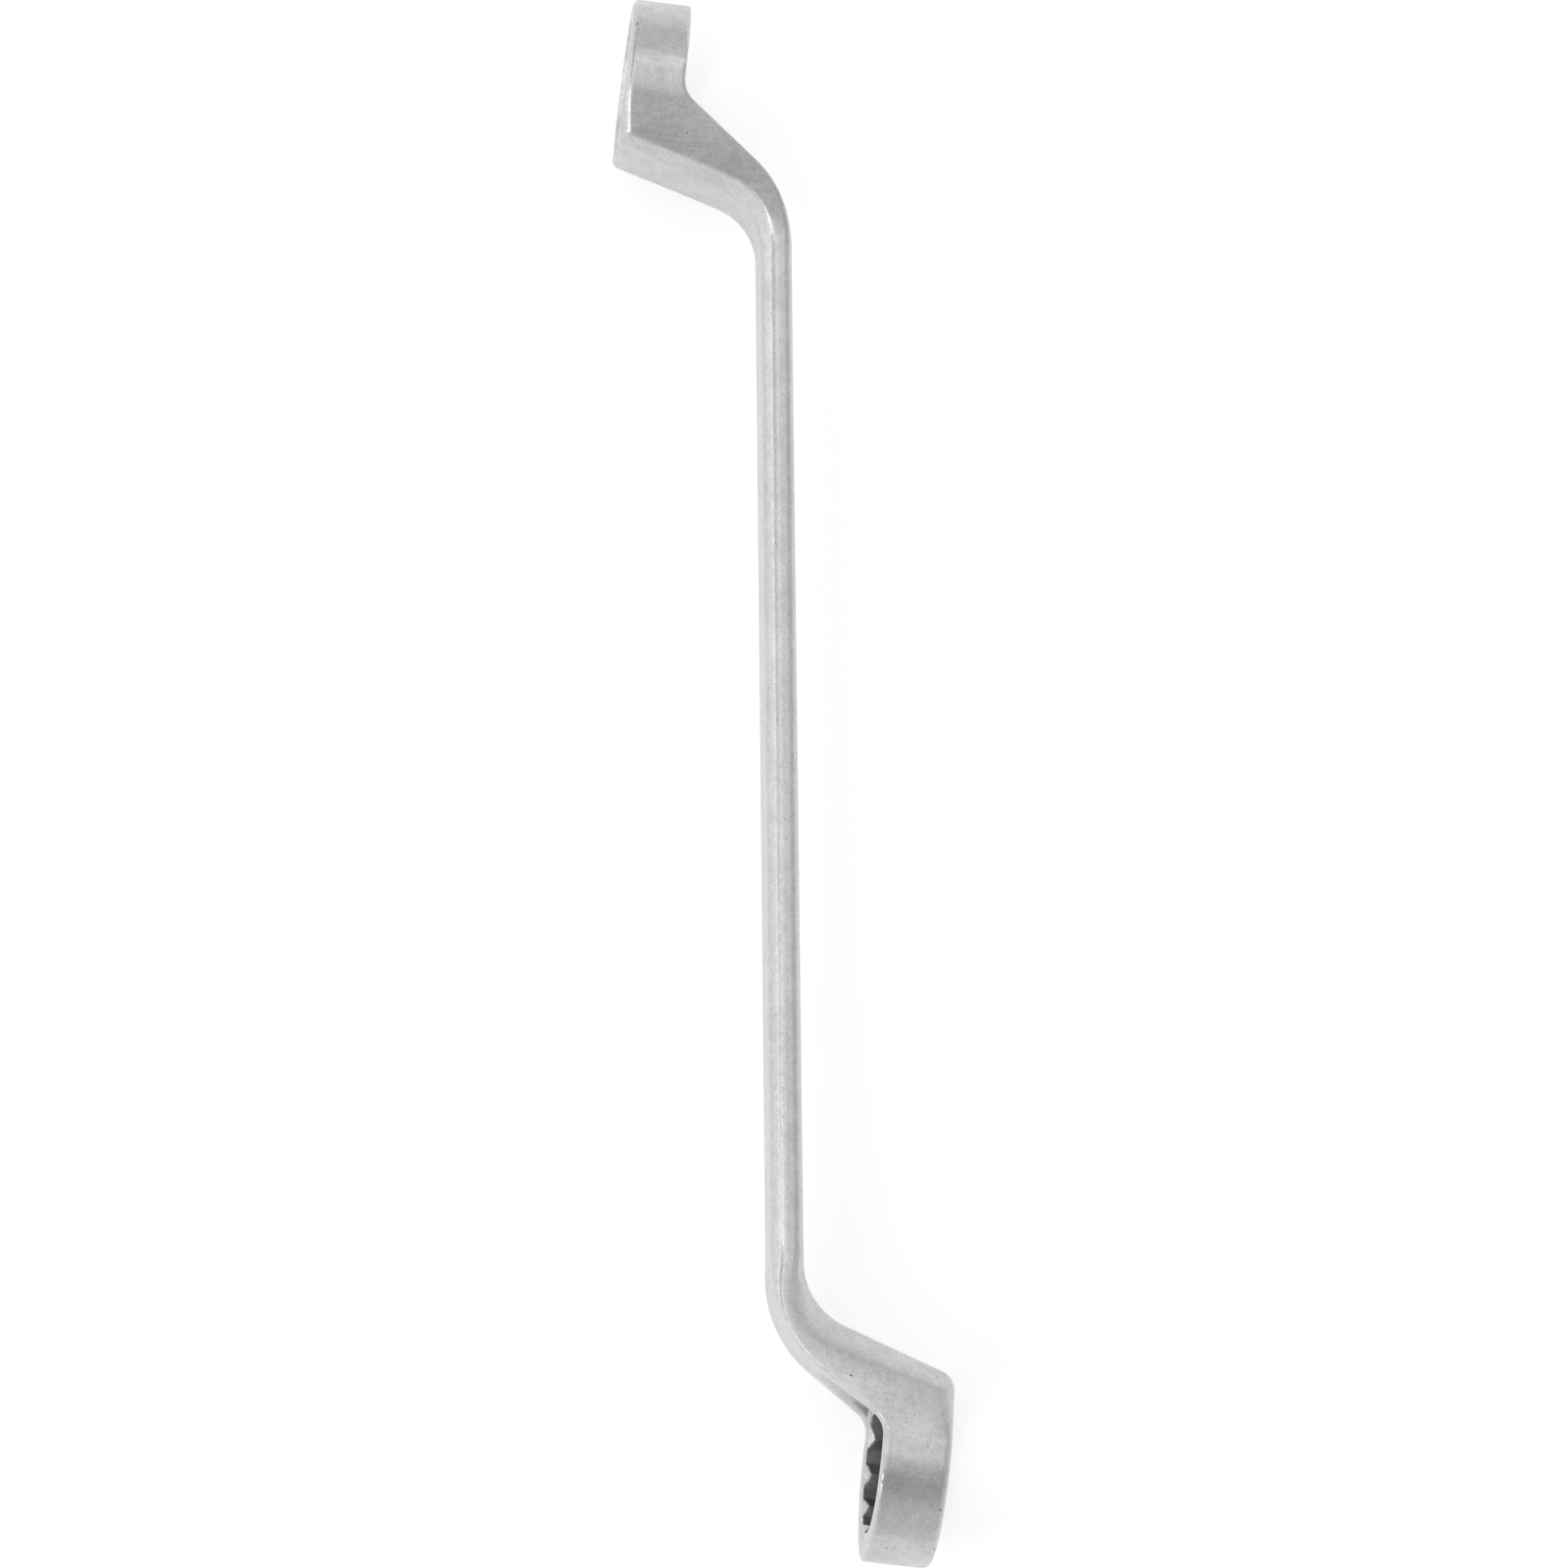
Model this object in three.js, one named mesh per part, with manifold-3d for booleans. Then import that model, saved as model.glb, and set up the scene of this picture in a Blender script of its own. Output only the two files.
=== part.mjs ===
// Double ended offset ring spanner, 27 mm and 24 mm, drop forged from one bar.
// Millimetres, +Z up. The spanner lies on its side: +X runs towards the large ring and
// both ring faces are square to Y. The forging is modelled as its regions: a ring at each
// end, the two bent necks and the shank, which meet face to face.
import * as THREE from "three";
import { mergeVertices } from "three/addons/utils/BufferGeometryUtils.js";
import Module from "manifold-3d";

const wasm = await Module();
wasm.setup();

// Shank: a flat bar with bevelled corners, a little thicker towards the large ring.
const ringSpacing = 288; // between the ring centres, along the shank
const shankTiltDegrees = 6.9; // between the shank and the ring faces
const shankWidth = 21.5;
const largeEndThickness = 6.8;
const smallEndThickness = 6.5;
const shankBevelWidth = 2.6;

// Neck: heel is the outer side of the bend's far end, throat is the side that looks
// over the ring's open face.
const throatBevelDepth = 0.6;
const throatBevelWidth = 1.4;
const flareBlend = 2.5; // how softly the shank's sides run into the flare
const flareDegrees = 16; // of each side, in plan
const neckLength = 37; // from the ring's centre, along X

// Ring: outer edges rounded, both mouths of the hole coned.
const rimRound = 0.8;
const cornerReliefShare = 0.385; // of each flank, given up to the flat in a hole's corner
const leadInMargin = 0.1; // of the cone's mouth beyond the ends of those flats
const leadInDepth = 1.45;
const clearMargin = 1.2; // of the clearance over the inner face beyond the hole's corners
const acrossFlatsClearance = 0.15;
const toothPhaseDegrees = 3.5; // of a hole corner, back from square to the shank
const cutOverrun = 3;
const rootDepth = 0.5; // how far the neck's root stays under the ring's skin
const rootShare = 0.12; // of the ring's radius, where the neck ends inside it

const LARGE = {
  side: 1,
  acrossFlats: 27,
  ringWall: 5.07, // from a corner of the hole to the ring's outside
  ringHeight: 13.9,
  ringOffset: 24.6, // from the shank's middle to the ring's middle
  heelInset: 2.3, // of the heel's corner from the ring's outline
  heelDegrees: 64.3,
  heelRound: 4,
  heelBend: 14.5,
  heelBevelStart: 1.3, // depth on the shank, on the heel's side
  heelBevelDepth: 4.3,
  heelBevelWidth: 2.6,
  throatDegrees: 50,
  throatBend: 27,
  throatBevelStart: 2,
  throatJoinShare: 0.38, // of the ring's radius
  shankHalfThickness: largeEndThickness / 2,
};

const SMALL = {
  side: -1,
  acrossFlats: 24,
  ringWall: 4.5,
  ringHeight: 12.1,
  ringOffset: 25.4,
  heelInset: 3.8,
  heelDegrees: 66,
  heelRound: 1.7,
  heelBend: 13.5,
  heelBevelStart: 2.4,
  heelBevelDepth: 2.6,
  heelBevelWidth: 3.4,
  throatDegrees: 48,
  throatBend: 24.5,
  throatBevelStart: 1,
  throatJoinShare: 0.19,
  shankHalfThickness: smallEndThickness / 2,
};

// How finely the round shapes are stepped.
const ringSteps = 72;
const rimSteps = 3;
const bendSteps = 7;
const neckSteps = 4;
const rootSteps = 3;
const heelRoundSteps = 4;
const shankSteps = 6;
const toothCount = 12;
const throatAtHeelShare = 0.72; // of the throat's straight, level with the heel's corner

const tilt = THREE.MathUtils.degToRad(shankTiltDegrees);
const radians = THREE.MathUtils.degToRad;

// From along and across the shank to the part's own X and Y, before the origin is set.
function fromShank(along, across) {
  return new THREE.Vector2(along, across).rotateAround(new THREE.Vector2(), tilt);
}

for (const end of [LARGE, SMALL]) {
  const halfFlats = (end.acrossFlats + acrossFlatsClearance) / 2;
  end.cornerRadius = halfFlats / Math.cos(Math.PI / 6);
  end.toothRadius = halfFlats / Math.cos(Math.PI / toothCount);
  end.tooth = new THREE.Vector2(end.toothRadius, 0).rotateAround(
    new THREE.Vector2(),
    Math.PI / toothCount,
  );
  end.flatEnd = new THREE.Vector2(end.cornerRadius, 0).lerp(end.tooth, cornerReliefShare);
  end.leadInRadius = end.flatEnd.length() + leadInMargin;
  end.clearRadius = end.cornerRadius + clearMargin;
  end.ringRadius = end.cornerRadius + end.ringWall;
  end.centre = fromShank((end.side * ringSpacing) / 2, end.side * end.ringOffset);
}

// The origin is under the middle of the whole part, on the surface that it lies on.
const origin = new THREE.Vector3(
  (LARGE.centre.x + LARGE.ringRadius + SMALL.centre.x - SMALL.ringRadius) / 2,
  (LARGE.centre.y + LARGE.ringHeight / 2 + SMALL.centre.y - SMALL.ringHeight / 2) / 2,
  -Math.max(LARGE.ringRadius, SMALL.ringRadius),
);
const middleZ = -origin.z;

for (const end of [LARGE, SMALL]) {
  end.x = end.centre.x - origin.x;
  end.y = end.centre.y - origin.y;
  end.outerY = end.y + (end.side * end.ringHeight) / 2;
  end.innerY = end.y - (end.side * end.ringHeight) / 2;
}

// A solid from a closed geometry.
function solid(geometry) {
  const bare = geometry.index ? geometry.toNonIndexed() : geometry.clone();
  bare.deleteAttribute("normal");
  bare.deleteAttribute("uv");
  const merged = mergeVertices(bare);
  return new wasm.Manifold(
    new wasm.Mesh({
      numProp: 3,
      vertProperties: merged.attributes.position.array,
      triVerts: new Uint32Array(merged.index.array),
    }),
  );
}

// A named mesh from a solid.
function meshOf(name, shape, material) {
  const { vertProperties, triVerts } = shape.getMesh();
  const geometry = new THREE.BufferGeometry();
  geometry.setAttribute("position", new THREE.BufferAttribute(vertProperties, 3));
  geometry.setIndex(new THREE.BufferAttribute(triVerts, 1));
  const flat = geometry.toNonIndexed();
  flat.computeVertexNormals();
  const mesh = new THREE.Mesh(flat, material);
  mesh.name = name;
  return mesh;
}

// A box between two corners.
function box(low, high) {
  const size = new THREE.Vector3().subVectors(high, low);
  const geometry = new THREE.BoxGeometry(size.x, size.y, size.z);
  const corners = geometry.attributes.position;
  for (let i = 0; i < corners.count; i++) {
    corners.setXYZ(
      i,
      corners.getX(i) < 0 ? low.x : high.x,
      corners.getY(i) < 0 ? low.y : high.y,
      corners.getZ(i) < 0 ? low.z : high.z,
    );
  }
  return solid(geometry);
}

// A round body on a ring's axis, from [radius, Y] points that run up from the axis.
function turned(end, points) {
  const profile = points.map(([radius, y]) => new THREE.Vector2(radius, y));
  const geometry = new THREE.LatheGeometry(profile, ringSteps);
  geometry.translate(end.x, 0, middleZ);
  return solid(geometry);
}

// The ring's blank, with rounded outer edges.
function ringBlank(end) {
  const low = Math.min(end.innerY, end.outerY);
  const high = Math.max(end.innerY, end.outerY);
  const flat = end.ringRadius - rimRound;
  const points = [[0, low]];
  for (let i = 0; i <= rimSteps; i++) {
    const turn = (i / rimSteps) * (Math.PI / 2);
    points.push([flat + rimRound * Math.sin(turn), i ? low + rimRound * (1 - Math.cos(turn)) : low]);
  }
  for (let i = rimSteps; i >= 0; i--) {
    const turn = (i / rimSteps) * (Math.PI / 2);
    points.push([flat + rimRound * Math.sin(turn), i ? high - rimRound * (1 - Math.cos(turn)) : high]);
  }
  points.push([0, high]);
  return turned(end, points);
}

// The twelve point hole: two hexagons turned half a corner apart, with a flat in each
// corner.
function holeCutter(end) {
  const start = Math.PI / 2 - radians(toothPhaseDegrees) * end.side;
  const flatStart = new THREE.Vector2(end.flatEnd.x, -end.flatEnd.y);
  const places = [];
  for (let i = 0; i < toothCount; i++) {
    const angle = start + (i * 2 * Math.PI) / toothCount;
    for (const point of [flatStart, end.flatEnd, end.tooth]) {
      places.push(point.clone().rotateAround(new THREE.Vector2(), angle));
    }
  }
  const outline = new THREE.Shape(places);
  const depth = end.ringHeight + cutOverrun * 2;
  const geometry = new THREE.ExtrudeGeometry(outline, { depth, bevelEnabled: false });
  geometry.rotateX(Math.PI / 2);
  geometry.translate(end.x, end.y + depth / 2, middleZ);
  return solid(geometry);
}

// The cone that leads a nut into the hole from the face at faceY; out is +1 or -1.
function leadIn(end, faceY, out) {
  const narrow = end.toothRadius - rootDepth / 2;
  const points = [
    [0, faceY - out * leadInDepth],
    [narrow, faceY - out * leadInDepth],
    [end.leadInRadius, faceY],
    [end.leadInRadius, faceY + out * cutOverrun],
    [0, faceY + out * cutOverrun],
  ];
  if (out < 0) points.reverse();
  return turned(end, points);
}

// The round clearance over the ring's inner face, which keeps the neck off the nut.
function throatCutter(end) {
  const radius = end.clearRadius;
  const far = end.innerY - end.side * end.ringOffset * 2;
  const points = [
    [0, Math.min(far, end.innerY)],
    [radius, Math.min(far, end.innerY)],
    [radius, Math.max(far, end.innerY)],
    [0, Math.max(far, end.innerY)],
  ];
  return turned(end, points);
}

// Half the width in plan at a distance from the ring's centre: the shank's width, the
// flare that is tangent to the ring, and the ring's own outline.
function halfWidth(end, distance) {
  const flare = radians(flareDegrees);
  if (distance < end.ringRadius * Math.sin(flare)) {
    return Math.sqrt(end.ringRadius ** 2 - distance ** 2) - rootDepth;
  }
  const straight = shankWidth / 2;
  const flared = end.ringRadius / Math.cos(flare) - distance * Math.tan(flare);
  return (straight + flared + Math.hypot(straight - flared, flareBlend)) / 2;
}

// The way along a ring's face, away from the shank, and the way along its axis, in the
// end's own directions, where the ring lies at positive along and across.
const faceWay = new THREE.Vector2(Math.cos(tilt), -Math.sin(tilt));
const axisWay = new THREE.Vector2(Math.sin(tilt), Math.cos(tilt));

// A point given from a ring's centre: back towards the shank and up along the axis.
function byRing(end, back, up) {
  const centre = new THREE.Vector2(ringSpacing / 2, end.ringOffset);
  return centre.addScaledVector(faceWay, -back).addScaledVector(axisWay, up);
}

// The corner of the heel, where its straight meets the ring's outer face.
function heelCorner(end) {
  return byRing(end, end.ringRadius - end.heelInset, end.ringHeight / 2);
}

// The unit vector that climbs at an angle from the shank.
function climb(degrees) {
  return new THREE.Vector2(1, 0).rotateAround(new THREE.Vector2(), radians(degrees));
}

// Points on the arc that takes a surface of the shank over to the straight which climbs
// to the target.
function bendPoints(surface, target, degrees, radius) {
  const angle = radians(degrees);
  const turnAway = Math.sign(target.y - surface);
  const knee = target.x - Math.abs(target.y - surface) / Math.tan(angle);
  const start = knee - radius * Math.tan(angle / 2);
  const points = [];
  for (let i = 0; i <= bendSteps; i++) {
    const turn = (i / bendSteps) * angle;
    const drop = radius * (1 - Math.cos(turn));
    points.push(new THREE.Vector2(start + radius * Math.sin(turn), surface + turnAway * drop));
  }
  return points;
}

// The stations of one neck, from the shank to inside the ring. The heel runs on past its
// corner, proud of the ring's outer face, and is trimmed flush later.
function neckStations(end) {
  const half = end.ringHeight / 2;
  const joinBack = end.ringRadius * end.throatJoinShare;
  const rootBack = end.ringRadius * rootShare;
  const corner = heelCorner(end);
  const join = byRing(end, joinBack, -half);
  const thickness = end.shankHalfThickness;
  const heel = bendPoints(thickness, corner, end.heelDegrees, end.heelBend);
  const throat = bendPoints(-thickness, join, end.throatDegrees, end.throatBend);
  const [heelLast, throatLast] = [heel[bendSteps], throat[bendSteps]];
  const proud = corner.clone().addScaledVector(climb(end.heelDegrees), cutOverrun);
  const level = throatLast.clone().lerp(join, throatAtHeelShare);
  const proudRoot = byRing(end, joinBack, half + cutOverrun);
  const pairs = heel.map((point, i) => [point, throat[i], i / bendSteps / 2]);
  for (let i = 1; i <= neckSteps; i++) {
    const share = i / neckSteps;
    const throatPoint = throatLast.clone().lerp(level, share);
    pairs.push([heelLast.clone().lerp(proud, share), throatPoint, (1 + share) / 2]);
  }
  for (let i = 1; i <= rootSteps; i++) {
    const share = i / rootSteps;
    pairs.push([proud.clone().lerp(proudRoot, share), level.clone().lerp(join, share), 1]);
  }
  pairs.push([byRing(end, rootBack, half - rootDepth), byRing(end, rootBack, rootDepth - half), 1]);
  const { lerp } = THREE.MathUtils;
  return pairs.map(([heelPoint, throatPoint, grown]) => ({
    heelPoint,
    throatPoint,
    heelDepth: lerp(end.heelBevelStart, end.heelBevelDepth, grown),
    throatDepth: lerp(end.throatBevelStart, throatBevelDepth, grown),
    heelWidth: lerp(shankBevelWidth, end.heelBevelWidth, grown),
    throatWidth: lerp(shankBevelWidth, throatBevelWidth, grown),
  }));
}

// A prism through the whole width of the part, over an outline in the end's directions.
function acrossPrism(end, outline) {
  const places = outline.map((point) => {
    const place = fromShank(end.side * point.x, end.side * point.y);
    return new THREE.Vector2(place.x - origin.x, place.y - origin.y);
  });
  const depth = origin.z * -2 + cutOverrun * 2;
  const geometry = new THREE.ExtrudeGeometry(new THREE.Shape(places), {
    depth,
    bevelEnabled: false,
  });
  geometry.translate(0, 0, -cutOverrun);
  return solid(geometry);
}

// The sharp edge of the heel's corner, outside its round.
function heelRoundCutter(end) {
  const corner = heelCorner(end);
  const climbing = climb(end.heelDegrees);
  const turn = Math.acos(climbing.dot(faceWay));
  const tangent = end.heelRound * Math.tan(turn / 2);
  const first = corner.clone().addScaledVector(climbing, -tangent);
  const outward = new THREE.Vector2(-climbing.y, climbing.x);
  const middle = first.clone().addScaledVector(outward, -end.heelRound);
  const outline = [];
  for (let i = 0; i <= heelRoundSteps; i++) {
    outline.push(first.clone().rotateAround(middle, (-i / heelRoundSteps) * turn));
  }
  const far = cutOverrun * 2;
  outline.push(outline[heelRoundSteps].clone().addScaledVector(axisWay, far));
  outline.push(corner.clone().addScaledVector(axisWay, far).addScaledVector(outward, far));
  outline.push(first.clone().addScaledVector(outward, far));
  return acrossPrism(end, outline);
}

// What the ring's blank leaves to the heel: everything past a line inside the heel.
function heelShareCutter(end) {
  const climbing = climb(end.heelDegrees);
  const inward = new THREE.Vector2(climbing.y, -climbing.x);
  const start = heelCorner(end).addScaledVector(inward, end.heelBevelDepth);
  const reachAlong = end.ringHeight * 2;
  const low = start.clone().addScaledVector(climbing, -reachAlong);
  const high = start.clone().addScaledVector(climbing, reachAlong);
  const wide = end.ringRadius;
  return acrossPrism(end, [
    low,
    high,
    high.clone().addScaledVector(inward, -wide),
    low.clone().addScaledVector(inward, -wide),
  ]);
}

// The eight corners of a station's section, in the part's frame. The left side of the
// shank is the heel side at the small end and the throat side at the large end.
function sectionCorners(end, station) {
  const { heelPoint, throatPoint } = station;
  const through = new THREE.Vector2().subVectors(throatPoint, heelPoint).normalize();
  const heelEdge = heelPoint.clone().addScaledVector(through, station.heelDepth);
  const throatEdge = throatPoint.clone().addScaledVector(through, -station.throatDepth);
  const width = (point) => halfWidth(end, ringSpacing / 2 - point.x);
  const heelSide = [
    [heelPoint, width(heelPoint) - station.heelWidth],
    [heelEdge, width(heelEdge)],
  ];
  const throatSide = [
    [throatPoint, width(throatPoint) - station.throatWidth],
    [throatEdge, width(throatEdge)],
  ];
  const [left, right] = end.side > 0 ? [throatSide, heelSide] : [heelSide, throatSide];
  const order = [
    [left[0], 1],
    [left[0], -1],
    [left[1], -1],
    [right[1], -1],
    [right[0], -1],
    [right[0], 1],
    [right[1], 1],
    [left[1], 1],
  ];
  return order.map(([[point, half], up]) => {
    const place = fromShank(end.side * point.x, end.side * point.y);
    return [place.x - origin.x, place.y - origin.y, middleZ + up * half];
  });
}

// A closed skin over rings of corners, with flat ends.
function skinOver(rings) {
  const around = rings[0].length;
  const positions = rings.flat(2);
  const faces = [];
  for (let i = 0; i + 1 < rings.length; i++) {
    for (let j = 0; j < around; j++) {
      const [a, b] = [i * around + j, i * around + ((j + 1) % around)];
      faces.push(a, b + around, a + around, a, b, b + around);
    }
  }
  const lastRing = (rings.length - 1) * around;
  for (let j = 1; j + 1 < around; j++) {
    faces.push(0, j + 1, j);
    faces.push(lastRing, lastRing + j, lastRing + j + 1);
  }
  const geometry = new THREE.BufferGeometry();
  geometry.setAttribute("position", new THREE.Float32BufferAttribute(positions, 3));
  geometry.setIndex(faces);
  return solid(geometry);
}

// Necks and shank in one run, from inside the small ring to inside the large one.
function barBlank() {
  const smallRings = neckStations(SMALL).map((station) => sectionCorners(SMALL, station));
  const largeRings = neckStations(LARGE).map((station) => sectionCorners(LARGE, station));
  const [from, to] = [smallRings[0], largeRings[0]];
  const between = [];
  for (let i = 1; i < shankSteps; i++) {
    const share = i / shankSteps;
    between.push(
      from.map((corner, j) => corner.map((v, k) => THREE.MathUtils.lerp(v, to[j][k], share))),
    );
  }
  return skinOver([...smallRings.reverse(), ...between, ...largeRings]);
}

// The far reach of every cutter, past the whole part.
const reach = ringSpacing + LARGE.ringRadius + SMALL.ringRadius;

// What lies beyond a ring's outer face.
function beyondOuterFace(end) {
  const near = new THREE.Vector3(0, end.outerY, -reach);
  const far = new THREE.Vector3(end.side * reach, end.outerY + end.side * reach, reach);
  return box(near.clone().min(far), near.clone().max(far));
}

// The bar and both rings joined, with their holes and clearances cut.
function forging() {
  let bar = barBlank();
  for (const end of [LARGE, SMALL]) {
    bar = bar.subtract(beyondOuterFace(end)).subtract(throatCutter(end));
    bar = bar.subtract(heelRoundCutter(end));
    bar = bar.add(ringBlank(end).subtract(heelShareCutter(end)));
    bar = bar.subtract(holeCutter(end));
    bar = bar.subtract(leadIn(end, end.outerY, end.side));
    bar = bar.subtract(leadIn(end, end.innerY, -end.side));
  }
  return bar;
}

// Where one region ends and the next starts, from the small end to the large end.
function ringCut(end) {
  return end.x - end.side * (end.clearRadius + rimRound);
}
function neckCut(end) {
  return end.x - end.side * neckLength;
}
const cuts = [-reach, ringCut(SMALL), neckCut(SMALL), neckCut(LARGE), ringCut(LARGE), reach];
const regions = ["small_ring", "small_neck", "shank", "large_neck", "large_ring"];

function satinChrome() {
  return new THREE.MeshStandardMaterial({ color: 0xbcbcbb, roughness: 0.42, metalness: 1 });
}

const spanner = new THREE.Group();
const whole = forging();
regions.forEach((name, i) => {
  const low = new THREE.Vector3(cuts[i], -reach, -reach);
  const high = new THREE.Vector3(cuts[i + 1], reach, reach);
  spanner.add(meshOf(name, whole.intersect(box(low, high)), satinChrome()));
});

export default spanner;
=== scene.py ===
import bpy
import math
import numpy as np
from mathutils import Matrix, Vector


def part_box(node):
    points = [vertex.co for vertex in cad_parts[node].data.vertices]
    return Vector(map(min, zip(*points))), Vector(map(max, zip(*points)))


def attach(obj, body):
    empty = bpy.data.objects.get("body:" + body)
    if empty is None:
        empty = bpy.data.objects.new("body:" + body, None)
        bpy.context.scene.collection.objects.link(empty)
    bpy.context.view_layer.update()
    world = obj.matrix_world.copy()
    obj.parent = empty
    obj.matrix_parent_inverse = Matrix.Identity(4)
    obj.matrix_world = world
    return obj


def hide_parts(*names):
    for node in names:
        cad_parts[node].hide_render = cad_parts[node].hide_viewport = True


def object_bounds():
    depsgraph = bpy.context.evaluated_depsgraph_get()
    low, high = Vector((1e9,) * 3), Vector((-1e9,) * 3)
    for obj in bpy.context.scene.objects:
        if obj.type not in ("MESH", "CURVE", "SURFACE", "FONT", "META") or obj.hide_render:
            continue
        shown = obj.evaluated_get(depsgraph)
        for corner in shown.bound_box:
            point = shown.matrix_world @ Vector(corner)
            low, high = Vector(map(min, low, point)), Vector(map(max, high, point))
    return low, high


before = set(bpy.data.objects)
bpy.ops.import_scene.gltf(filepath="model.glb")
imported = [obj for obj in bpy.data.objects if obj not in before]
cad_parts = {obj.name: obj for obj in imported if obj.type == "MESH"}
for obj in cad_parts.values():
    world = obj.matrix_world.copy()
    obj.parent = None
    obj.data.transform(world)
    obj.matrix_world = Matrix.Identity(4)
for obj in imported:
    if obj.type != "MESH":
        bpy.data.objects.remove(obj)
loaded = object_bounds()
mm = 0.001
print("frame loaded")


# sizes of the forging in millimetres: a note marks each one that the solids give otherwise
# or don't have
shank = {
    "spacing": 288.0,  # between ring centres, along the shank
    "tilt": math.radians(6.9),
    "width": 21.5,
    "bevelWidth": 2.6,
    "edgeRound": 0.9,  # this mesh only
    "halfLarge": 3.4,  # half its thickness towards the large ring
    "halfSmall": 3.25,
}
# heel is the outside of an end's bend, throat the inside of it
largeEnd = {
    "node": "large_ring",
    "side": 1,
    "flats": 27.15,
    "height": 13.9,
    "offset": 24.6,
    "heelInset": 2.3,  # of the heel's corner from the ring's rim
    "heelAngle": math.radians(64.3),
    "heelBend": 14.5,
    "heelRound": 4.0,
    "heelBevel": 1.3,
    "neckBevel": 4.3,
    "neckBevelWidth": 2.6,
    "neckRound": 1.3,  # this mesh only, as are the next three
    "crown": 1.5,  # swell of the neck's sides
    "grownBack": 25.0,  # distance from the ring centre where the bevels have changed
    "startBack": 41.0,  # and where they start to
    "throatAngle": math.radians(50),
    "throatBend": 27.0,
    "throatBevel": 2.0,
    "throatJoinShare": 0.38,
    "phase": math.radians(-3.5),
    "leadIn": 1.45,
    "leadInMargin": 0.1,
}
smallEnd = {
    "node": "small_ring",
    "side": -1,
    "flats": 24.15,
    "height": 12.1,
    "offset": 25.4,
    "heelInset": 3.8,
    "heelAngle": math.radians(66),
    "heelBend": 13.5,
    "heelRound": 1.9,  # 1.7 in the solids
    "heelBevel": 2.4,
    "neckBevel": 2.6,
    "neckBevelWidth": 3.4,
    "neckRound": 0.5,  # this mesh only, as are the next three
    "crown": 0.6,
    "grownBack": 19.0,
    "startBack": 35.0,
    "throatAngle": math.radians(48),
    "throatBend": 24.5,
    "throatBevel": 1.0,
    "throatJoinShare": 0.19,
    "phase": math.radians(3.5),
    "leadIn": 2.1,  # 1.45 in the solids
    "leadInMargin": 0.8,  # 0.1 in the solids
}
neck = {
    "throatBevel": 0.35,  # 0.6 in the solids
    "throatBevelWidth": 0.45,  # 1.4 in the solids
    "throatRound": 0.3,  # this mesh only
    "throatFoot": 5.5,  # this mesh only, hollow where the throat meets the ring's inner face
    "flare": math.radians(16),
    "flareBend": 26.0,  # radius; the solids blend flare and bar by another formula
    "crownGuard": 0.01,  # this mesh only, keeps the crown's share from dividing by nothing
}
ring = {
    "rimRound": 0.85,  # 0.8 in the solids
    "rimSoft": 0.5,  # this mesh only, as are the next two
    "rimFrom": 4.0,  # behind the ring's centre, where the rim's round starts to fade
    "rimBeyond": 4.0,  # past the ring's radius, where it has faded
    "cornerReliefShare": 0.385,  # of each flank, given up to the flat in a hole's corner
    "clearMargin": 0.7,  # of the free space beyond the hole's corners, 1.2 in the solids
    "clearRound": 0.5,  # this mesh only
    "clearEdge": 0.9,  # this mesh only
    "leadInOverrun": 0.4,  # this mesh only, of a mouth's cone past the ring's face
}


def fromRing(end, back, up):
    # a point given back and up from the ring's centre, as distances along and across the shank
    c, s = math.cos(shank["tilt"]), math.sin(shank["tilt"])
    return (shank["spacing"] / 2 - back * c + up * s, end["offset"] + back * s + up * c)


def setPlaces():
    # where each ring sits, from the boxes of the loaded nodes
    for end in (largeEnd, smallEnd):
        low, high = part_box(end["node"])
        side = end["side"]
        end["radius"] = (high.z - low.z) / 2 / mm
        end["z"] = (high.z + low.z) / 2 / mm
        outer = high if side > 0 else low
        end["x"] = outer.x / mm - side * end["radius"]
        end["y"] = outer.y / mm - side * end["height"] / 2
        end["corner"] = fromRing(end, end["radius"] - end["heelInset"], end["height"] / 2)
        end["join"] = fromRing(end, end["radius"] * end["throatJoinShare"], -end["height"] / 2)
    tilt, half = shank["tilt"], shank["spacing"] / 2
    c, s = math.cos(tilt), math.sin(tilt)
    shank["x"] = largeEnd["x"] - (half * c - largeEnd["offset"] * s)
    shank["y"] = largeEnd["y"] - (half * s + largeEnd["offset"] * c)


setPlaces()


def roundJoin(a, b, cosine, radius):
    # union of two half spaces, the hollow between them filled to an arc
    ea, eb = radius - a, radius - b
    wide = 1 - cosine * cosine
    u, v = (ea - cosine * eb) / wide, (eb - cosine * ea) / wide
    arc = radius - np.sqrt(np.maximum(u * u + v * v + 2 * u * v * cosine, 0))
    return np.where((u > 0) & (v > 0), arc, np.minimum(a, b))


def roundCut(a, b, cosine, radius):
    # what two half spaces share, the edge between them rounded
    return -roundJoin(-a, -b, cosine, radius)


def softCut(a, b, reach):
    # what two forms share, the edge between them softened
    near = np.maximum(reach - np.abs(a - b), 0) / reach
    return np.maximum(a, b) + near * near * reach / 4


def bevel(a, b, depth, width):
    return (a * width + b * depth + depth * width) / np.sqrt(depth * depth + width * width)


def ease(x, start, stop):
    t = np.clip((x - start) / (stop - start), 0, 1)
    return t * t * (3 - 2 * t)


def between(a, b, share):
    return a + (b - a) * share


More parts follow.
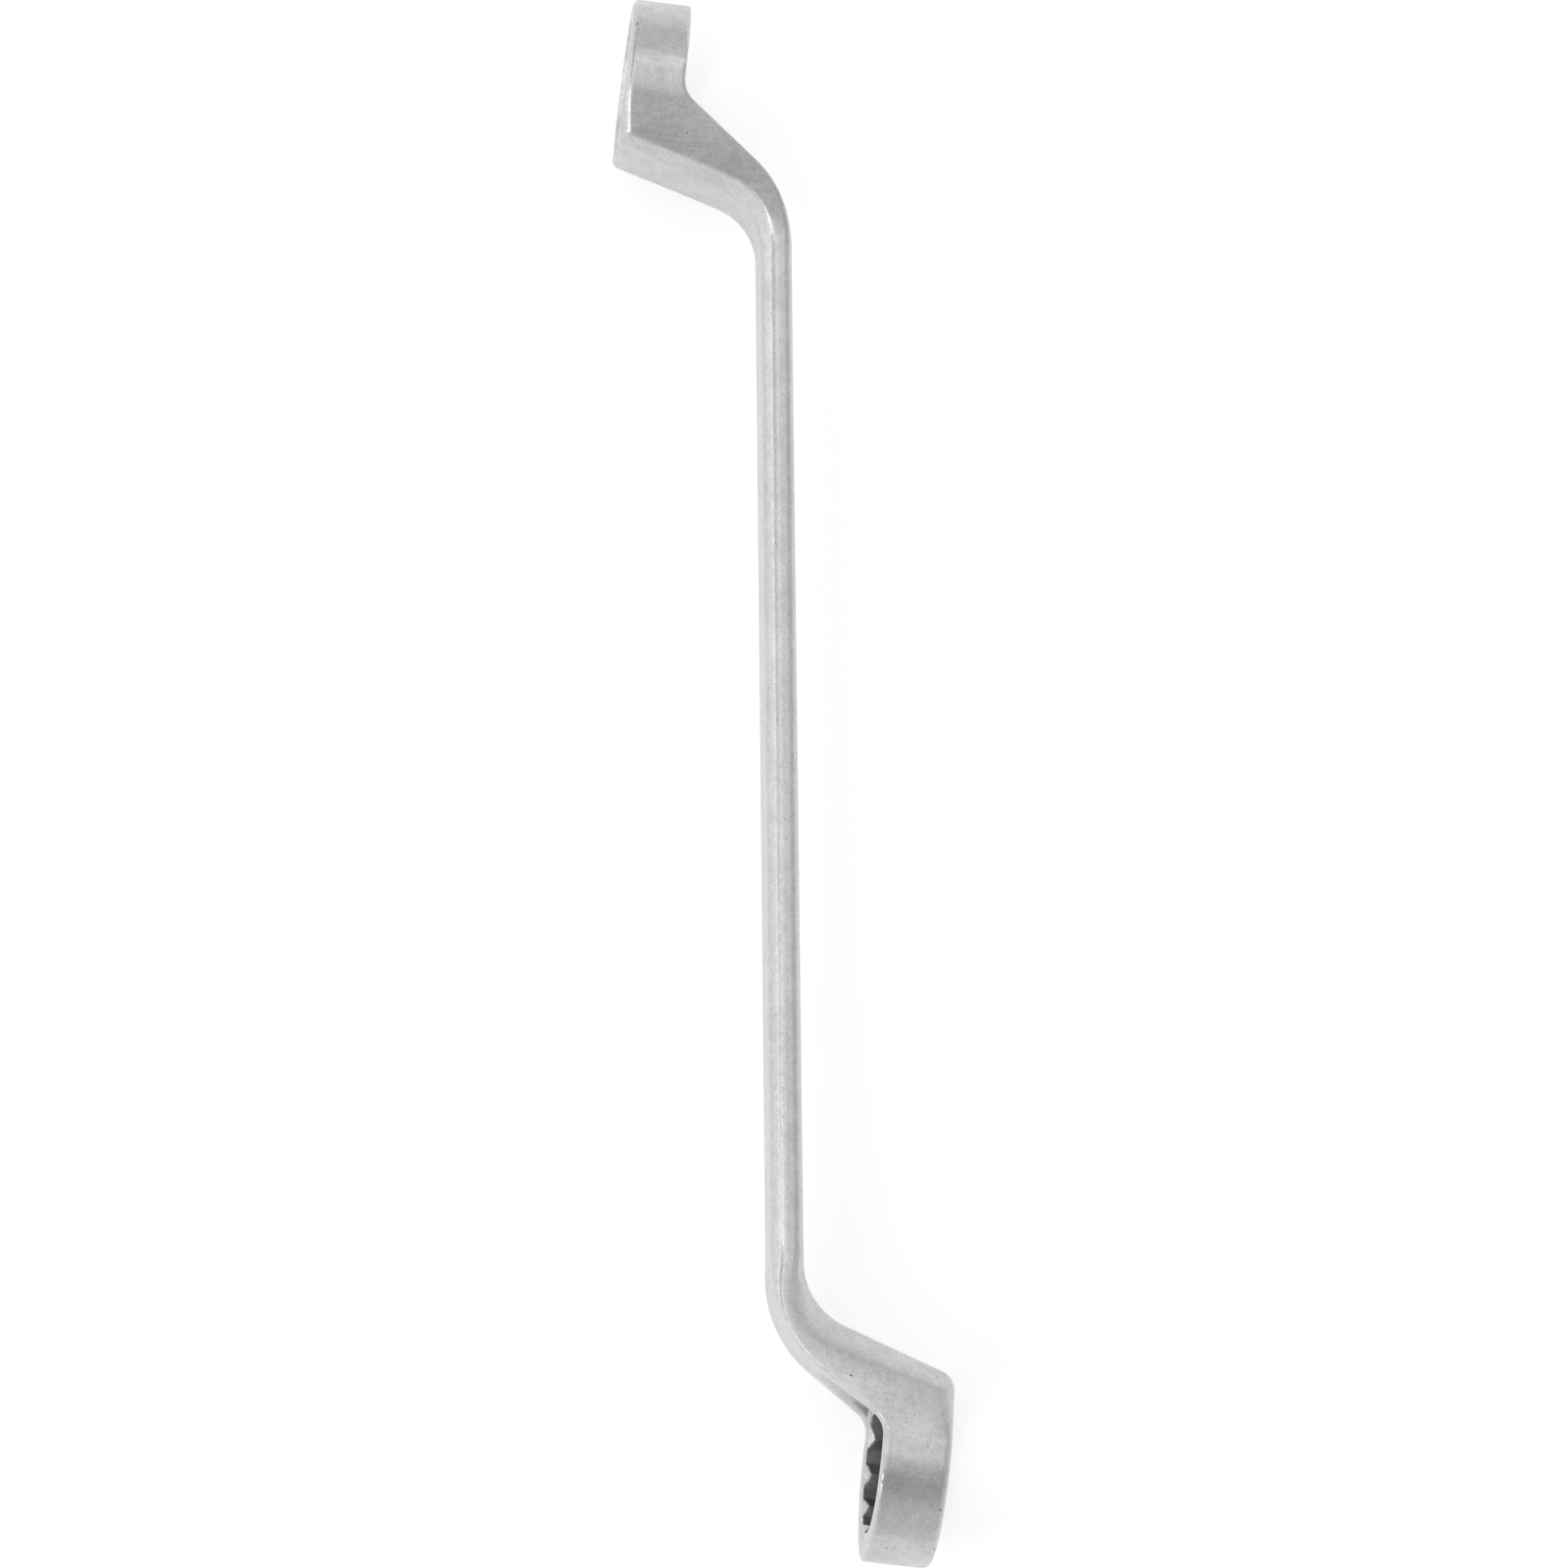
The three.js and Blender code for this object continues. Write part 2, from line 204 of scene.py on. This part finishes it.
def heelField(end, along, across, up, half):
    # outside of the bend: the bar's face, the climb to the ring and the ring's outer face
    c, s = math.cos(shank["tilt"]), math.sin(shank["tilt"])
    ca, sa = math.cos(end["heelAngle"]), math.sin(end["heelAngle"])
    cornerAlong, cornerAcross = end["corner"]
    climb = ca * (across - cornerAcross) - sa * (along - cornerAlong)
    heel = roundJoin(across - half, climb, ca, end["heelBend"])
    outerFace = up - end["height"] / 2
    return roundCut(heel, outerFace, ca * c - sa * s, end["heelRound"])


def throatField(end, along, across, up, half):
    # inside of the bend: the bar's other face, the climb and the ring's inner face
    c, s = math.cos(shank["tilt"]), math.sin(shank["tilt"])
    cb, sb = math.cos(end["throatAngle"]), math.sin(end["throatAngle"])
    joinAlong, joinAcross = end["join"]
    climb = sb * (along - joinAlong) - cb * (across - joinAcross)
    throat = roundCut(-across - half, climb, cb, end["throatBend"])
    innerFace = -up - end["height"] / 2
    return roundJoin(throat, innerFace, cb * c - sb * s, neck["throatFoot"])


def planField(end, back, w):
    # outline seen along the ring's axis: disc, flared neck and bar
    cf, sf = math.cos(neck["flare"]), math.sin(neck["flare"])
    disc = np.hypot(back, w) - end["radius"]
    flare = back * sf + w * cf - end["radius"]
    flare = np.where(back * cf < w * sf, disc, flare)
    plan = roundJoin(w - shank["width"] / 2, flare, cf, neck["flareBend"])
    return np.where(back < 0, disc, plan)


def barField(end, x, y, w):
    # signed distance to shank, neck and disc of one half, w is the height off the middle plane
    side = end["side"]
    c, s = math.cos(shank["tilt"]), math.sin(shank["tilt"])
    dx, dy = (x - shank["x"]) * side, (y - shank["y"]) * side
    along, across = dx * c + dy * s, dy * c - dx * s
    back, up = (end["x"] - x) * side, (y - end["y"]) * side
    towardsLarge = np.clip(along * side / shank["spacing"] + 0.5, 0, 1)
    half = between(shank["halfSmall"], shank["halfLarge"], towardsLarge)
    heel = heelField(end, along, across, up, half)
    throat = throatField(end, along, across, up, half)
    grown = 1 - ease(back, end["grownBack"], end["startBack"])
    rim = 1 - ease(back, ring["rimFrom"], end["radius"] + ring["rimBeyond"])
    heelShare = np.clip(throat / (throat + heel - neck["crownGuard"]), 0, 1)
    swell = end["crown"] * grown * ease(back, 0.0, end["radius"]) * heelShare**2
    plan = planField(end, back, w) + swell
    other = smallEnd if side > 0 else largeEnd
    towardsEnd = np.clip(along / shank["spacing"] + 0.5, 0, 1)
    depth = between(other["throatBevel"], end["heelBevel"], towardsEnd)
    depth = between(between(depth, end["neckBevel"], grown), ring["rimRound"], rim)
    width = between(shank["bevelWidth"], end["neckBevelWidth"], grown)
    width = between(width, ring["rimRound"], rim)
    heelBevel = bevel(heel, plan, depth, width)
    depth = between(other["heelBevel"], end["throatBevel"], towardsEnd)
    depth = between(depth, neck["throatBevel"], grown)
    width = between(shank["bevelWidth"], neck["throatBevelWidth"], grown)
    throatBevel = bevel(throat, plan, depth, width)
    soft = between(between(shank["edgeRound"], end["neckRound"], grown), ring["rimSoft"], rim)
    throatSoft = between(shank["edgeRound"], neck["throatRound"], grown)
    bar = softCut(plan, heelBevel, soft)
    bar = softCut(bar, throatBevel, throatSoft)
    bar = softCut(bar, heel, soft)
    return softCut(bar, throat, throatSoft)


def cornerRadius(end):
    return end["flats"] / 2 / math.cos(math.pi / 6)


def toothRadius(end):
    return end["flats"] / 2 / math.cos(math.pi / 12)


def flatRadius(end):
    # of the ends of the flats in the hole's corners
    tooth = Vector((math.cos(math.pi / 12), math.sin(math.pi / 12))) * toothRadius(end)
    return Vector((cornerRadius(end), 0)).lerp(tooth, ring["cornerReliefShare"]).length


def clearField(end, x, y, w):
    # the free space over the inner face
    up, out = (y - end["y"]) * end["side"], np.hypot(x - end["x"], w)
    wall = out - cornerRadius(end) - ring["clearMargin"]
    return roundCut(wall, up + end["height"] / 2, 0.0, ring["clearRound"])


def holeParts(end, x, y, z):
    # twelve point hole, and the cones at both its mouths
    px, pz, up = x - end["x"], z - end["z"], (y - end["y"]) * end["side"]
    hexes = []
    for turned in (0, math.pi / 6):
        sides = []
        for k in range(3):
            angle = end["phase"] + turned + k * math.pi / 3
            sides.append(np.abs(px * math.cos(angle) + pz * math.sin(angle)))
        hexes.append(np.maximum(np.maximum(sides[0], sides[1]), sides[2]) - end["flats"] / 2)
    out = np.hypot(px, pz)
    star = np.maximum(np.minimum(hexes[0], hexes[1]), out - flatRadius(end))
    mouth = flatRadius(end) + end["leadInMargin"]
    taper = (mouth - toothRadius(end)) / end["leadIn"]
    deep = np.maximum(end["height"] / 2 - np.abs(up), -ring["leadInOverrun"])
    cone = (out - mouth + deep * taper) / math.hypot(1, taper)
    return star, cone


def field(p):
    # signed distance to the whole forging, the two halves worked out apart
    x, y, z = p[:, 0], p[:, 1], p[:, 2]
    result = np.empty(len(p))
    for end in (largeEnd, smallEnd):
        mine = (x >= 0) if end["side"] > 0 else (x < 0)
        if not mine.any():
            continue
        px, py, pz = x[mine], y[mine], z[mine]
        w = np.abs(pz - end["z"])
        bar = softCut(barField(end, px, py, w), -clearField(end, px, py, w), ring["clearEdge"])
        star, cone = holeParts(end, px, py, pz)
        result[mine] = np.maximum(bar, -np.minimum(star, cone))
    return result


# how the field becomes a mesh, lengths in millimetres
grid = {
    "pitch": 0.4,
    "border": 2.3,  # cells past the object's box
    "outside": 9.0,  # value of what is too far off to be worked out
    "slab": 12,  # length worked out at once
    "barReach": 8,  # across, either side of the bar's middle
    "barHeight": 13,  # either side of the bar's middle plane
    "endReach": 24,  # of an end past the bar's middle, on the side away from its ring
    "endMargin": 4,  # between a neck and where the bar's own reach is enough
    "closings": 4,  # steps that close in on the surface
    "closingShares": (0.02, 0.98),  # of what is left, that a step may move to
    "normalStep": 0.02,
    "middlePull": 0.04,  # holds a vertex near the middle of the points around it
    "cellReach": 0.55,  # cells that a vertex may move from its cell's centre
    "sharpAngle": math.radians(38),
    "boreReach": 0.12,  # distance from the hole's wall that still counts as bore
}


def slope(p):
    # unit normals of the field
    parts = []
    for axis in range(3):
        move = np.zeros(3)
        move[axis] = grid["normalStep"]
        parts.append(field(p + move) - field(p - move))
    n = np.stack(parts, 1)
    return n / np.maximum(np.linalg.norm(n, axis=1, keepdims=True), 1e-9)


def sampleGrid(pitch):
    # field values near the object, everything further off counts as outside
    border = grid["border"] * pitch
    low = np.array([loaded[0][i] / mm for i in range(3)]) - border
    high = np.array([loaded[1][i] / mm for i in range(3)]) + border
    count = np.ceil((high - low) / pitch).astype(int) + 1
    values = np.full(count, grid["outside"], dtype=np.float32)
    axes = [low[i] + pitch * np.arange(count[i]) for i in range(3)]
    slab = int(grid["slab"] / pitch)
    neckX = largeEnd["x"] - largeEnd["startBack"] - grid["endMargin"]
    for first in range(0, count[0], slab):
        xs = axes[0][first : first + slab]
        mid = (xs[0] + xs[-1]) / 2
        line = shank["y"] + (mid - shank["x"]) * math.tan(shank["tilt"])
        zs = np.arange(count[2])
        if abs(mid) < neckX:
            ys = np.nonzero(np.abs(axes[1] - line) < grid["barReach"])[0]
            zs = np.nonzero(np.abs(axes[2] - largeEnd["z"]) < grid["barHeight"])[0]
        elif mid > 0:
            ys = np.nonzero(axes[1] > line - grid["endReach"])[0]
        else:
            ys = np.nonzero(axes[1] < line + grid["endReach"])[0]
        gx, gy, gz = np.meshgrid(xs, axes[1][ys], axes[2][zs], indexing="ij")
        got = field(np.stack([gx.ravel(), gy.ravel(), gz.ravel()], 1)).reshape(gx.shape)
        values[first : first + len(xs), ys[0] : ys[-1] + 1, zs[0] : zs[-1] + 1] = got
    return low, values


def crossedCells(inside):
    # cells with corners on both sides of the surface, and a grid of their numbers
    cells = [n - 1 for n in inside.shape]
    total = np.zeros(cells, dtype=np.int8)
    for i in (0, 1):
        for j in (0, 1):
            for k in (0, 1):
                total += inside[i : i + cells[0], j : j + cells[1], k : k + cells[2]]
    crossed = np.argwhere((total > 0) & (total < 8))
    ids = np.full(cells, -1, dtype=np.int64)
    ids[tuple(crossed.T)] = np.arange(len(crossed))
    return crossed, ids


def crossedEdges(inside, axis, others):
    # grid edges along one axis that the surface cuts, off the grid's border
    first = [slice(None)] * 3
    first[axis] = slice(0, -1)
    second = [slice(None)] * 3
    second[axis] = slice(1, None)
    edges = np.argwhere(inside[tuple(first)] != inside[tuple(second)])
    keep = np.all([(edges[:, a] > 0) & (edges[:, a] < inside.shape[a] - 1) for a in others], axis=0)
    return edges[keep]


def cutPoints(low, pitch, values, edges, axis):
    # where the surface cuts each edge, closed in on from both of its ends
    ends = edges.copy()
    ends[:, axis] += 1
    fa, fb = values[tuple(edges.T)].astype(float), values[tuple(ends.T)].astype(float)
    ta, tb = np.zeros(len(edges)), np.ones(len(edges))
    base = low + pitch * edges
    step = np.zeros(3)
    step[axis] = pitch
    for _ in range(grid["closings"]):
        t = ta + (tb - ta) * np.clip(fa / (fa - fb), *grid["closingShares"])
        f = field(base + t[:, None] * step)
        same = (f < 0) == (fa < 0)
        ta, fa = np.where(same, t, ta), np.where(same, f, fa)
        tb, fb = np.where(same, tb, t), np.where(same, fb, f)
    return base + (ta + (tb - ta) * fa / (fa - fb))[:, None] * step


def skin(pitch):
    # one vertex per crossed cell, put where the surface planes around it meet
    low, values = sampleGrid(pitch)
    inside = values < 0
    crossed, ids = crossedCells(inside)
    size = len(crossed)
    count = np.zeros(size)
    points, planes = np.zeros((size, 3)), np.zeros((size, 3))
    squares = np.zeros((size, 3, 3))
    quads = []
    for axis in range(3):
        others = [a for a in range(3) if a != axis]
        edges = crossedEdges(inside, axis, others)
        p = cutPoints(low, pitch, values, edges, axis)
        n = slope(p)
        dots = (n * p).sum(1)
        around = []
        for da, db in ((0, 0), (1, 0), (1, 1), (0, 1)):
            cell = edges.copy()
            cell[:, others[0]] -= da
            cell[:, others[1]] -= db
            around.append(ids[tuple(cell.T)])
        for cell in around:
            count += np.bincount(cell, minlength=size)
            for i in range(3):
                points[:, i] += np.bincount(cell, p[:, i], size)
                planes[:, i] += np.bincount(cell, n[:, i] * dots, size)
                for j in range(3):
                    squares[:, i, j] += np.bincount(cell, n[:, i] * n[:, j], size)
        faces = np.stack(around, 1)
        kept = inside[tuple(edges.T)]
        if axis == 1:
            kept = ~kept
        faces[~kept] = faces[~kept][:, ::-1]
        quads.append(faces)
    middle = points / count[:, None]
    pull = squares + grid["middlePull"] * count[:, None, None] * np.eye(3)
    right = planes - np.einsum("nij,nj->ni", squares, middle)
    verts = middle + np.linalg.solve(pull, right[:, :, None])[:, :, 0]
    centre = low + pitch * (crossed + 0.5)
    reach = grid["cellReach"] * pitch
    return np.clip(verts, centre - reach, centre + reach), np.concatenate(quads)


def makeForging(pitch):
    verts, quads = skin(pitch)
    mesh = bpy.data.meshes.new("forging")
    mesh.from_pydata((verts * mm).tolist(), [], quads.tolist())
    mesh.validate()
    mesh.update()
    piece = bpy.data.objects.new("forging", mesh)
    bpy.context.scene.collection.objects.link(piece)
    mesh.shade_smooth()
    mesh.set_sharp_from_angle(angle=grid["sharpAngle"])
    middles = verts[quads].mean(1)
    inBore = np.zeros(len(quads), dtype=bool)
    for end in (largeEnd, smallEnd):
        star, cone = holeParts(end, *middles.T)
        beside = middles[:, 0] * end["side"] > 0
        inBore |= beside & (np.abs(star) < grid["boreReach"]) & (np.abs(star) < np.abs(cone))
    mesh.polygons.foreach_set("material_index", inBore.astype(np.int32))
    return piece


forging = makeForging(grid["pitch"])
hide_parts("small_ring", "small_neck", "shank", "large_neck", "large_ring")
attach(forging, "root")
print("forging made", len(forging.data.vertices))


def linear(code):
    values = [int(code[i : i + 2], 16) / 255 for i in (1, 3, 5)]
    return [v / 12.92 if v <= 0.04045 else ((v + 0.055) / 1.055) ** 2.4 for v in values] + [1]


def addNode(owner, kind, feeds, **settings):
    # feeds gives sockets another socket or a plain value, by number where names repeat
    tree = owner.node_tree
    node = tree.nodes.new(kind)
    for name, value in settings.items():
        setattr(node, name, value)
    for name, value in feeds.items():
        if isinstance(value, bpy.types.NodeSocket):
            tree.links.new(value, node.inputs[name])
        else:
            node.inputs[name].default_value = value
    return node


def newMaterial(name):
    material = bpy.data.materials.new(name)
    material.use_nodes = True
    material.node_tree.nodes.clear()
    return material


def patternPlace(material, sizes):
    # object coordinates divided by a pattern's size in millimetres along each axis
    place = addNode(material, "ShaderNodeTexCoord", {})
    scale = [1 / mm / size for size in sizes]
    return addNode(
        material, "ShaderNodeMapping", {"Vector": place.outputs["Object"], "Scale": scale}
    ).outputs[0]


def weigh(material, patterns, shares):
    # sum of patterns, each times its share
    total = 0.0
    for name, share in shares.items():
        total = addNode(
            material,
            "ShaderNodeMath",
            {0: patterns[name], 1: share, 2: total},
            operation="MULTIPLY_ADD",
        ).outputs[0]
    return total


mixA, mixB, mixed = 6, 7, 2  # sockets of a Mix node that hold its colours

chrome = {
    "pale": "#cdcdcd",
    "dull": "#b6b6b6",
    "pitted": "#5a5a5a",
    "roughness": (0.28, 0.38),
    "mottle": 1.7,  # mm across, the peel left by the blast and the plating
    "cloud": 8.0,  # where the plating runs thicker and thinner
    "grain": 0.5,  # coarser than the real 0.1 mm shot blast so that it shows
    "grindPitch": 0.7,  # between belt marks, which run across the tool
    "grindLength": 9.0,
    "details": {"mottle": 3, "cloud": 3, "grain": 2, "marks": 3},
    "pits": ((4.2, 0.28, 0.32), (1.4, 0.12, 0.5)),  # spacing, radius, share of cells with one
    "pitEdgeShares": (0.4, 1.3),  # of a pit's radius, where its floor ends and its rim fades
    "wornShares": {"cloud": 0.6, "mottle": 0.6, "grain": 1.0},
    "wornRange": (0.75, 1.45),  # of the sum of those, from pale to dull
    "marksRange": (0.3, 0.7),  # of the belt marks, from smooth to rough
    "heightShares": {"mottle": 1.2, "grain": 0.7, "marks": 0.7, "pits": -3.0},
    "bumpStrength": 0.45,
    "bumpHeight": 0.05,  # mm
}


def satinChrome():
    # matt chrome over a blasted and belt ground forging: a light grey with soft highlights,
    # a fine peel, clouds where the plating thins, belt marks and a few dark pits
    material = newMaterial("satin chrome plating")
    sizes = {name: [chrome[name]] * 3 for name in ("mottle", "cloud", "grain")}
    sizes["marks"] = (chrome["grindPitch"], chrome["grindLength"], chrome["grindLength"])
    patterns = {}
    for name, detail in chrome["details"].items():
        feeds = {"Vector": patternPlace(material, sizes[name]), "Scale": 1, "Detail": detail}
        patterns[name] = addNode(material, "ShaderNodeTexNoise", feeds).outputs["Fac"]
    patterns["pits"] = 0.0
    floorShare, rimShare = chrome["pitEdgeShares"]
    for spacing, radius, share in chrome["pits"]:
        feeds = {"Vector": patternPlace(material, [spacing] * 3), "Scale": 1}
        spots = addNode(material, "ShaderNodeTexVoronoi", feeds)
        near = radius / spacing
        hollow = addNode(
            material,
            "ShaderNodeMapRange",
            {
                "Value": spots.outputs["Distance"],
                "From Min": near * floorShare,
                "From Max": near * rimShare,
                "To Min": 1,
                "To Max": 0,
            },
            interpolation_type="SMOOTHSTEP",
        )
        chance = addNode(material, "ShaderNodeSeparateColor", {0: spots.outputs["Color"]})
        chosen = addNode(
            material, "ShaderNodeMath", {0: chance.outputs[0], 1: share}, operation="LESS_THAN"
        )
        patterns["pits"] = addNode(
            material,
            "ShaderNodeMath",
            {0: hollow.outputs[0], 1: chosen.outputs[0], 2: patterns["pits"]},
            operation="MULTIPLY_ADD",
            use_clamp=True,
        ).outputs[0]
    palest, dullest = chrome["wornRange"]
    worn = addNode(
        material,
        "ShaderNodeMapRange",
        {
            "Value": weigh(material, patterns, chrome["wornShares"]),
            "From Min": palest,
            "From Max": dullest,
        },
        interpolation_type="SMOOTHSTEP",
    )
    plated = addNode(
        material,
        "ShaderNodeMix",
        {0: worn.outputs[0], mixA: linear(chrome["pale"]), mixB: linear(chrome["dull"])},
        data_type="RGBA",
    )
    colour = addNode(
        material,
        "ShaderNodeMix",
        {0: patterns["pits"], mixA: plated.outputs[mixed], mixB: linear(chrome["pitted"])},
        data_type="RGBA",
    )
    lightest, deepest = chrome["marksRange"]
    smooth, rough = chrome["roughness"]
    roughness = addNode(
        material,
        "ShaderNodeMapRange",
        {
            "Value": patterns["marks"],
            "From Min": lightest,
            "From Max": deepest,
            "To Min": smooth,
            "To Max": rough,
        },
    )
    bump = addNode(
        material,
        "ShaderNodeBump",
        {
            "Height": weigh(material, patterns, chrome["heightShares"]),
            "Strength": chrome["bumpStrength"],
            "Distance": chrome["bumpHeight"] * mm,
        },
    )
    shader = addNode(
        material,
        "ShaderNodeBsdfPrincipled",
        {
            "Base Color": colour.outputs[mixed],
            "Roughness": roughness.outputs[0],
            "Normal": bump.outputs[0],
            "Metallic": 1.0,
        },
    )
    addNode(material, "ShaderNodeOutputMaterial", {"Surface": shader.outputs[0]})
    return material


bore = {
    # both bore colours are darker than the chrome's: painted shade for the inside of the hole
    "clean": "#989898",
    "dark": "#7a7a7a",
    "roughness": 0.38,
    "broachPitch": 0.5,  # coarser than the real tool marks so that they show
    "broachLength": 15.0,
    "broachDetail": 3,
    "cloud": 3.5,  # mm across, where plating reached the wall and where it didn't
    "cloudDetail": 2,
    "cloudRange": (0.3, 0.7),
    "bumpStrength": 0.4,
    "bumpHeight": 0.05,
}


def boreSteelAndShade():
    # broached bore, duller and lined by the broach; both its colours are painted darker than the
    # chrome, as shade for the inside of the hole, over the thinner plating there
    material = newMaterial("broached bore")
    lined = (bore["broachPitch"], bore["broachLength"], bore["broachPitch"])
    feeds = {"Vector": patternPlace(material, lined), "Scale": 1, "Detail": bore["broachDetail"]}
    lines = addNode(material, "ShaderNodeTexNoise", feeds)
    clouded = [bore["cloud"]] * 3
    feeds = {"Vector": patternPlace(material, clouded), "Scale": 1, "Detail": bore["cloudDetail"]}
    cloud = addNode(material, "ShaderNodeTexNoise", feeds)
    cleanest, darkest = bore["cloudRange"]
    share = addNode(
        material,
        "ShaderNodeMapRange",
        {"Value": cloud.outputs["Fac"], "From Min": cleanest, "From Max": darkest},
    )
    colour = addNode(
        material,
        "ShaderNodeMix",
        {0: share.outputs[0], mixA: linear(bore["clean"]), mixB: linear(bore["dark"])},
        data_type="RGBA",
    )
    bump = addNode(
        material,
        "ShaderNodeBump",
        {
            "Height": lines.outputs["Fac"],
            "Strength": bore["bumpStrength"],
            "Distance": bore["bumpHeight"] * mm,
        },
    )
    shader = addNode(
        material,
        "ShaderNodeBsdfPrincipled",
        {
            "Base Color": colour.outputs[mixed],
            "Roughness": bore["roughness"],
            "Normal": bump.outputs[0],
            "Metallic": 1.0,
        },
    )
    addNode(material, "ShaderNodeOutputMaterial", {"Surface": shader.outputs[0]})
    return material


forging.data.materials.append(satinChrome())
forging.data.materials.append(boreSteelAndShade())
print("chrome and bore finished")


# view solved from the photo, in millimetres from the middle of the shank
photo = {
    "eye": (145.4, -105.8, 1200.0),
    "target": (3.2, 1.0, 0.0),
    "roll": -0.011,
    "lens": 133.84,
    "sensor": 36.0,
    "clip": (0.1, 10),  # metres
}


def placeFromShank(point):
    c, s = math.cos(shank["tilt"]), math.sin(shank["tilt"])
    u, v, z = point
    return Vector((shank["x"] + u * c - v * s, shank["y"] + u * s + v * c, largeEnd["z"] + z)) * mm


def makeCamera():
    data = bpy.data.cameras.new("camera")
    data.lens, data.sensor_width = photo["lens"], photo["sensor"]
    data.clip_start, data.clip_end = photo["clip"]
    camera = bpy.data.objects.new("camera", data)
    bpy.context.scene.collection.objects.link(camera)
    eye, target = placeFromShank(photo["eye"]), placeFromShank(photo["target"])
    back = (eye - target).normalized()
    alongShank = placeFromShank((1, 0, 0)) - placeFromShank((0, 0, 0))
    down = (alongShank - back * alongShank.dot(back)).normalized()  # the shank runs down the frame
    right = back.cross(down)
    right, down = (
        right * math.cos(photo["roll"]) - down * math.sin(photo["roll"]),
        down * math.cos(photo["roll"]) + right * math.sin(photo["roll"]),
    )
    turn = Matrix((right, -down, back)).transposed()
    camera.matrix_world = Matrix.Translation(eye) @ turn.to_4x4()
    bpy.context.scene.camera = camera


makeCamera()
print("camera placed")


table = {
    "colour": "#c8c8c8",
    "roughness": 0.8,
    "glow": 0.56,
    "reach": 4.0,  # metres from the middle
}


def backlitTable():
    # opal acrylic lit from below, so that the floor stays pale beside the tool
    material = newMaterial("backlit opal acrylic")
    shader = addNode(
        material,
        "ShaderNodeBsdfPrincipled",
        {
            "Base Color": linear(table["colour"]),
            "Roughness": table["roughness"],
            "Emission Color": linear("#ffffff"),
            "Emission Strength": table["glow"],
        },
    )
    addNode(material, "ShaderNodeOutputMaterial", {"Surface": shader.outputs[0]})
    return material


def makeFloor():
    mesh = bpy.data.meshes.new("floor")
    reach = table["reach"]
    corners = [(-reach, -reach, 0), (reach, -reach, 0), (reach, reach, 0), (-reach, reach, 0)]
    mesh.from_pydata(corners, [], [(0, 1, 2, 3)])
    floor = bpy.data.objects.new("floor", mesh)
    bpy.context.scene.collection.objects.link(floor)
    mesh.materials.append(backlitTable())


makeFloor()
print("floor laid")


# bearings in degrees from the part's X axis, heights in degrees off the floor, lengths in metres
studio = {
    "horizon": 0.77,
    "gap": 0.43,  # dark gap in the light, round the photographer
    "gapBearing": 27.0,
    "gapHeight": 68.0,
    "gapWidths": (7.0, 34.0),  # degrees off its middle, full and gone
    "softboxes": (
        # name, bearing, height, distance, width, length, brightness
        ("key softbox", 298, 42, 1.2, 0.45, 0.5, 2.8),
        ("overhead panel", 255, 76.5, 1.29, 0.67, 1.05, 0.56),
        ("head panel", 190, 60, 1.45, 0.9, 0.45, 0.66),
        ("left strip", 270, 12, 1.2, 1.6, 0.35, 1.05),
        ("head strip", 152, 9, 1.2, 1.2, 0.35, 0.3),
        ("tail strip", 330, 8, 1.2, 0.9, 0.3, 0.3),
    ),
}


def wayTo(bearing, height):
    turn, lift = math.radians(bearing), math.radians(height)
    level = math.cos(lift)
    return Vector((level * math.cos(turn), level * math.sin(turn), math.sin(lift)))


def addSoftbox(name, bearing, height, distance, width, length, brightness):
    data = bpy.data.lights.new(name, "AREA")
    data.shape, data.size, data.size_y = "RECTANGLE", width, length
    data.energy = brightness * math.pi * width * length
    light = bpy.data.objects.new(name, data)
    bpy.context.scene.collection.objects.link(light)
    way = wayTo(bearing, height)
    light.location = way * distance
    light.rotation_mode = "QUATERNION"
    light.rotation_quaternion = way.to_track_quat("Z", "Y")


def makeWorld():
    # even light from all round, with the dark gap
    world = bpy.data.worlds.new("studio")
    world.use_nodes = True
    world.node_tree.nodes.clear()
    way = addNode(world, "ShaderNodeTexCoord", {})
    gapWay = wayTo(studio["gapBearing"], studio["gapHeight"])
    near = addNode(
        world, "ShaderNodeVectorMath", {0: way.outputs["Generated"], 1: gapWay}, operation="DOT_PRODUCT"
    )
    full, gone = [math.cos(math.radians(width)) for width in studio["gapWidths"]]
    strength = addNode(
        world,
        "ShaderNodeMapRange",
        {
            "Value": near.outputs["Value"],
            "From Min": gone,
            "From Max": full,
            "To Min": studio["horizon"],
            "To Max": studio["gap"],
        },
        interpolation_type="SMOOTHSTEP",
    )
    sky = addNode(
        world, "ShaderNodeBackground", {"Color": linear("#ffffff"), "Strength": strength.outputs[0]}
    )
    addNode(world, "ShaderNodeOutputWorld", {"Surface": sky.outputs[0]})
    bpy.context.scene.world = world


for values in studio["softboxes"]:
    addSoftbox(*values)
makeWorld()
bpy.context.scene.view_settings.view_transform = "Standard"
print("studio lit")
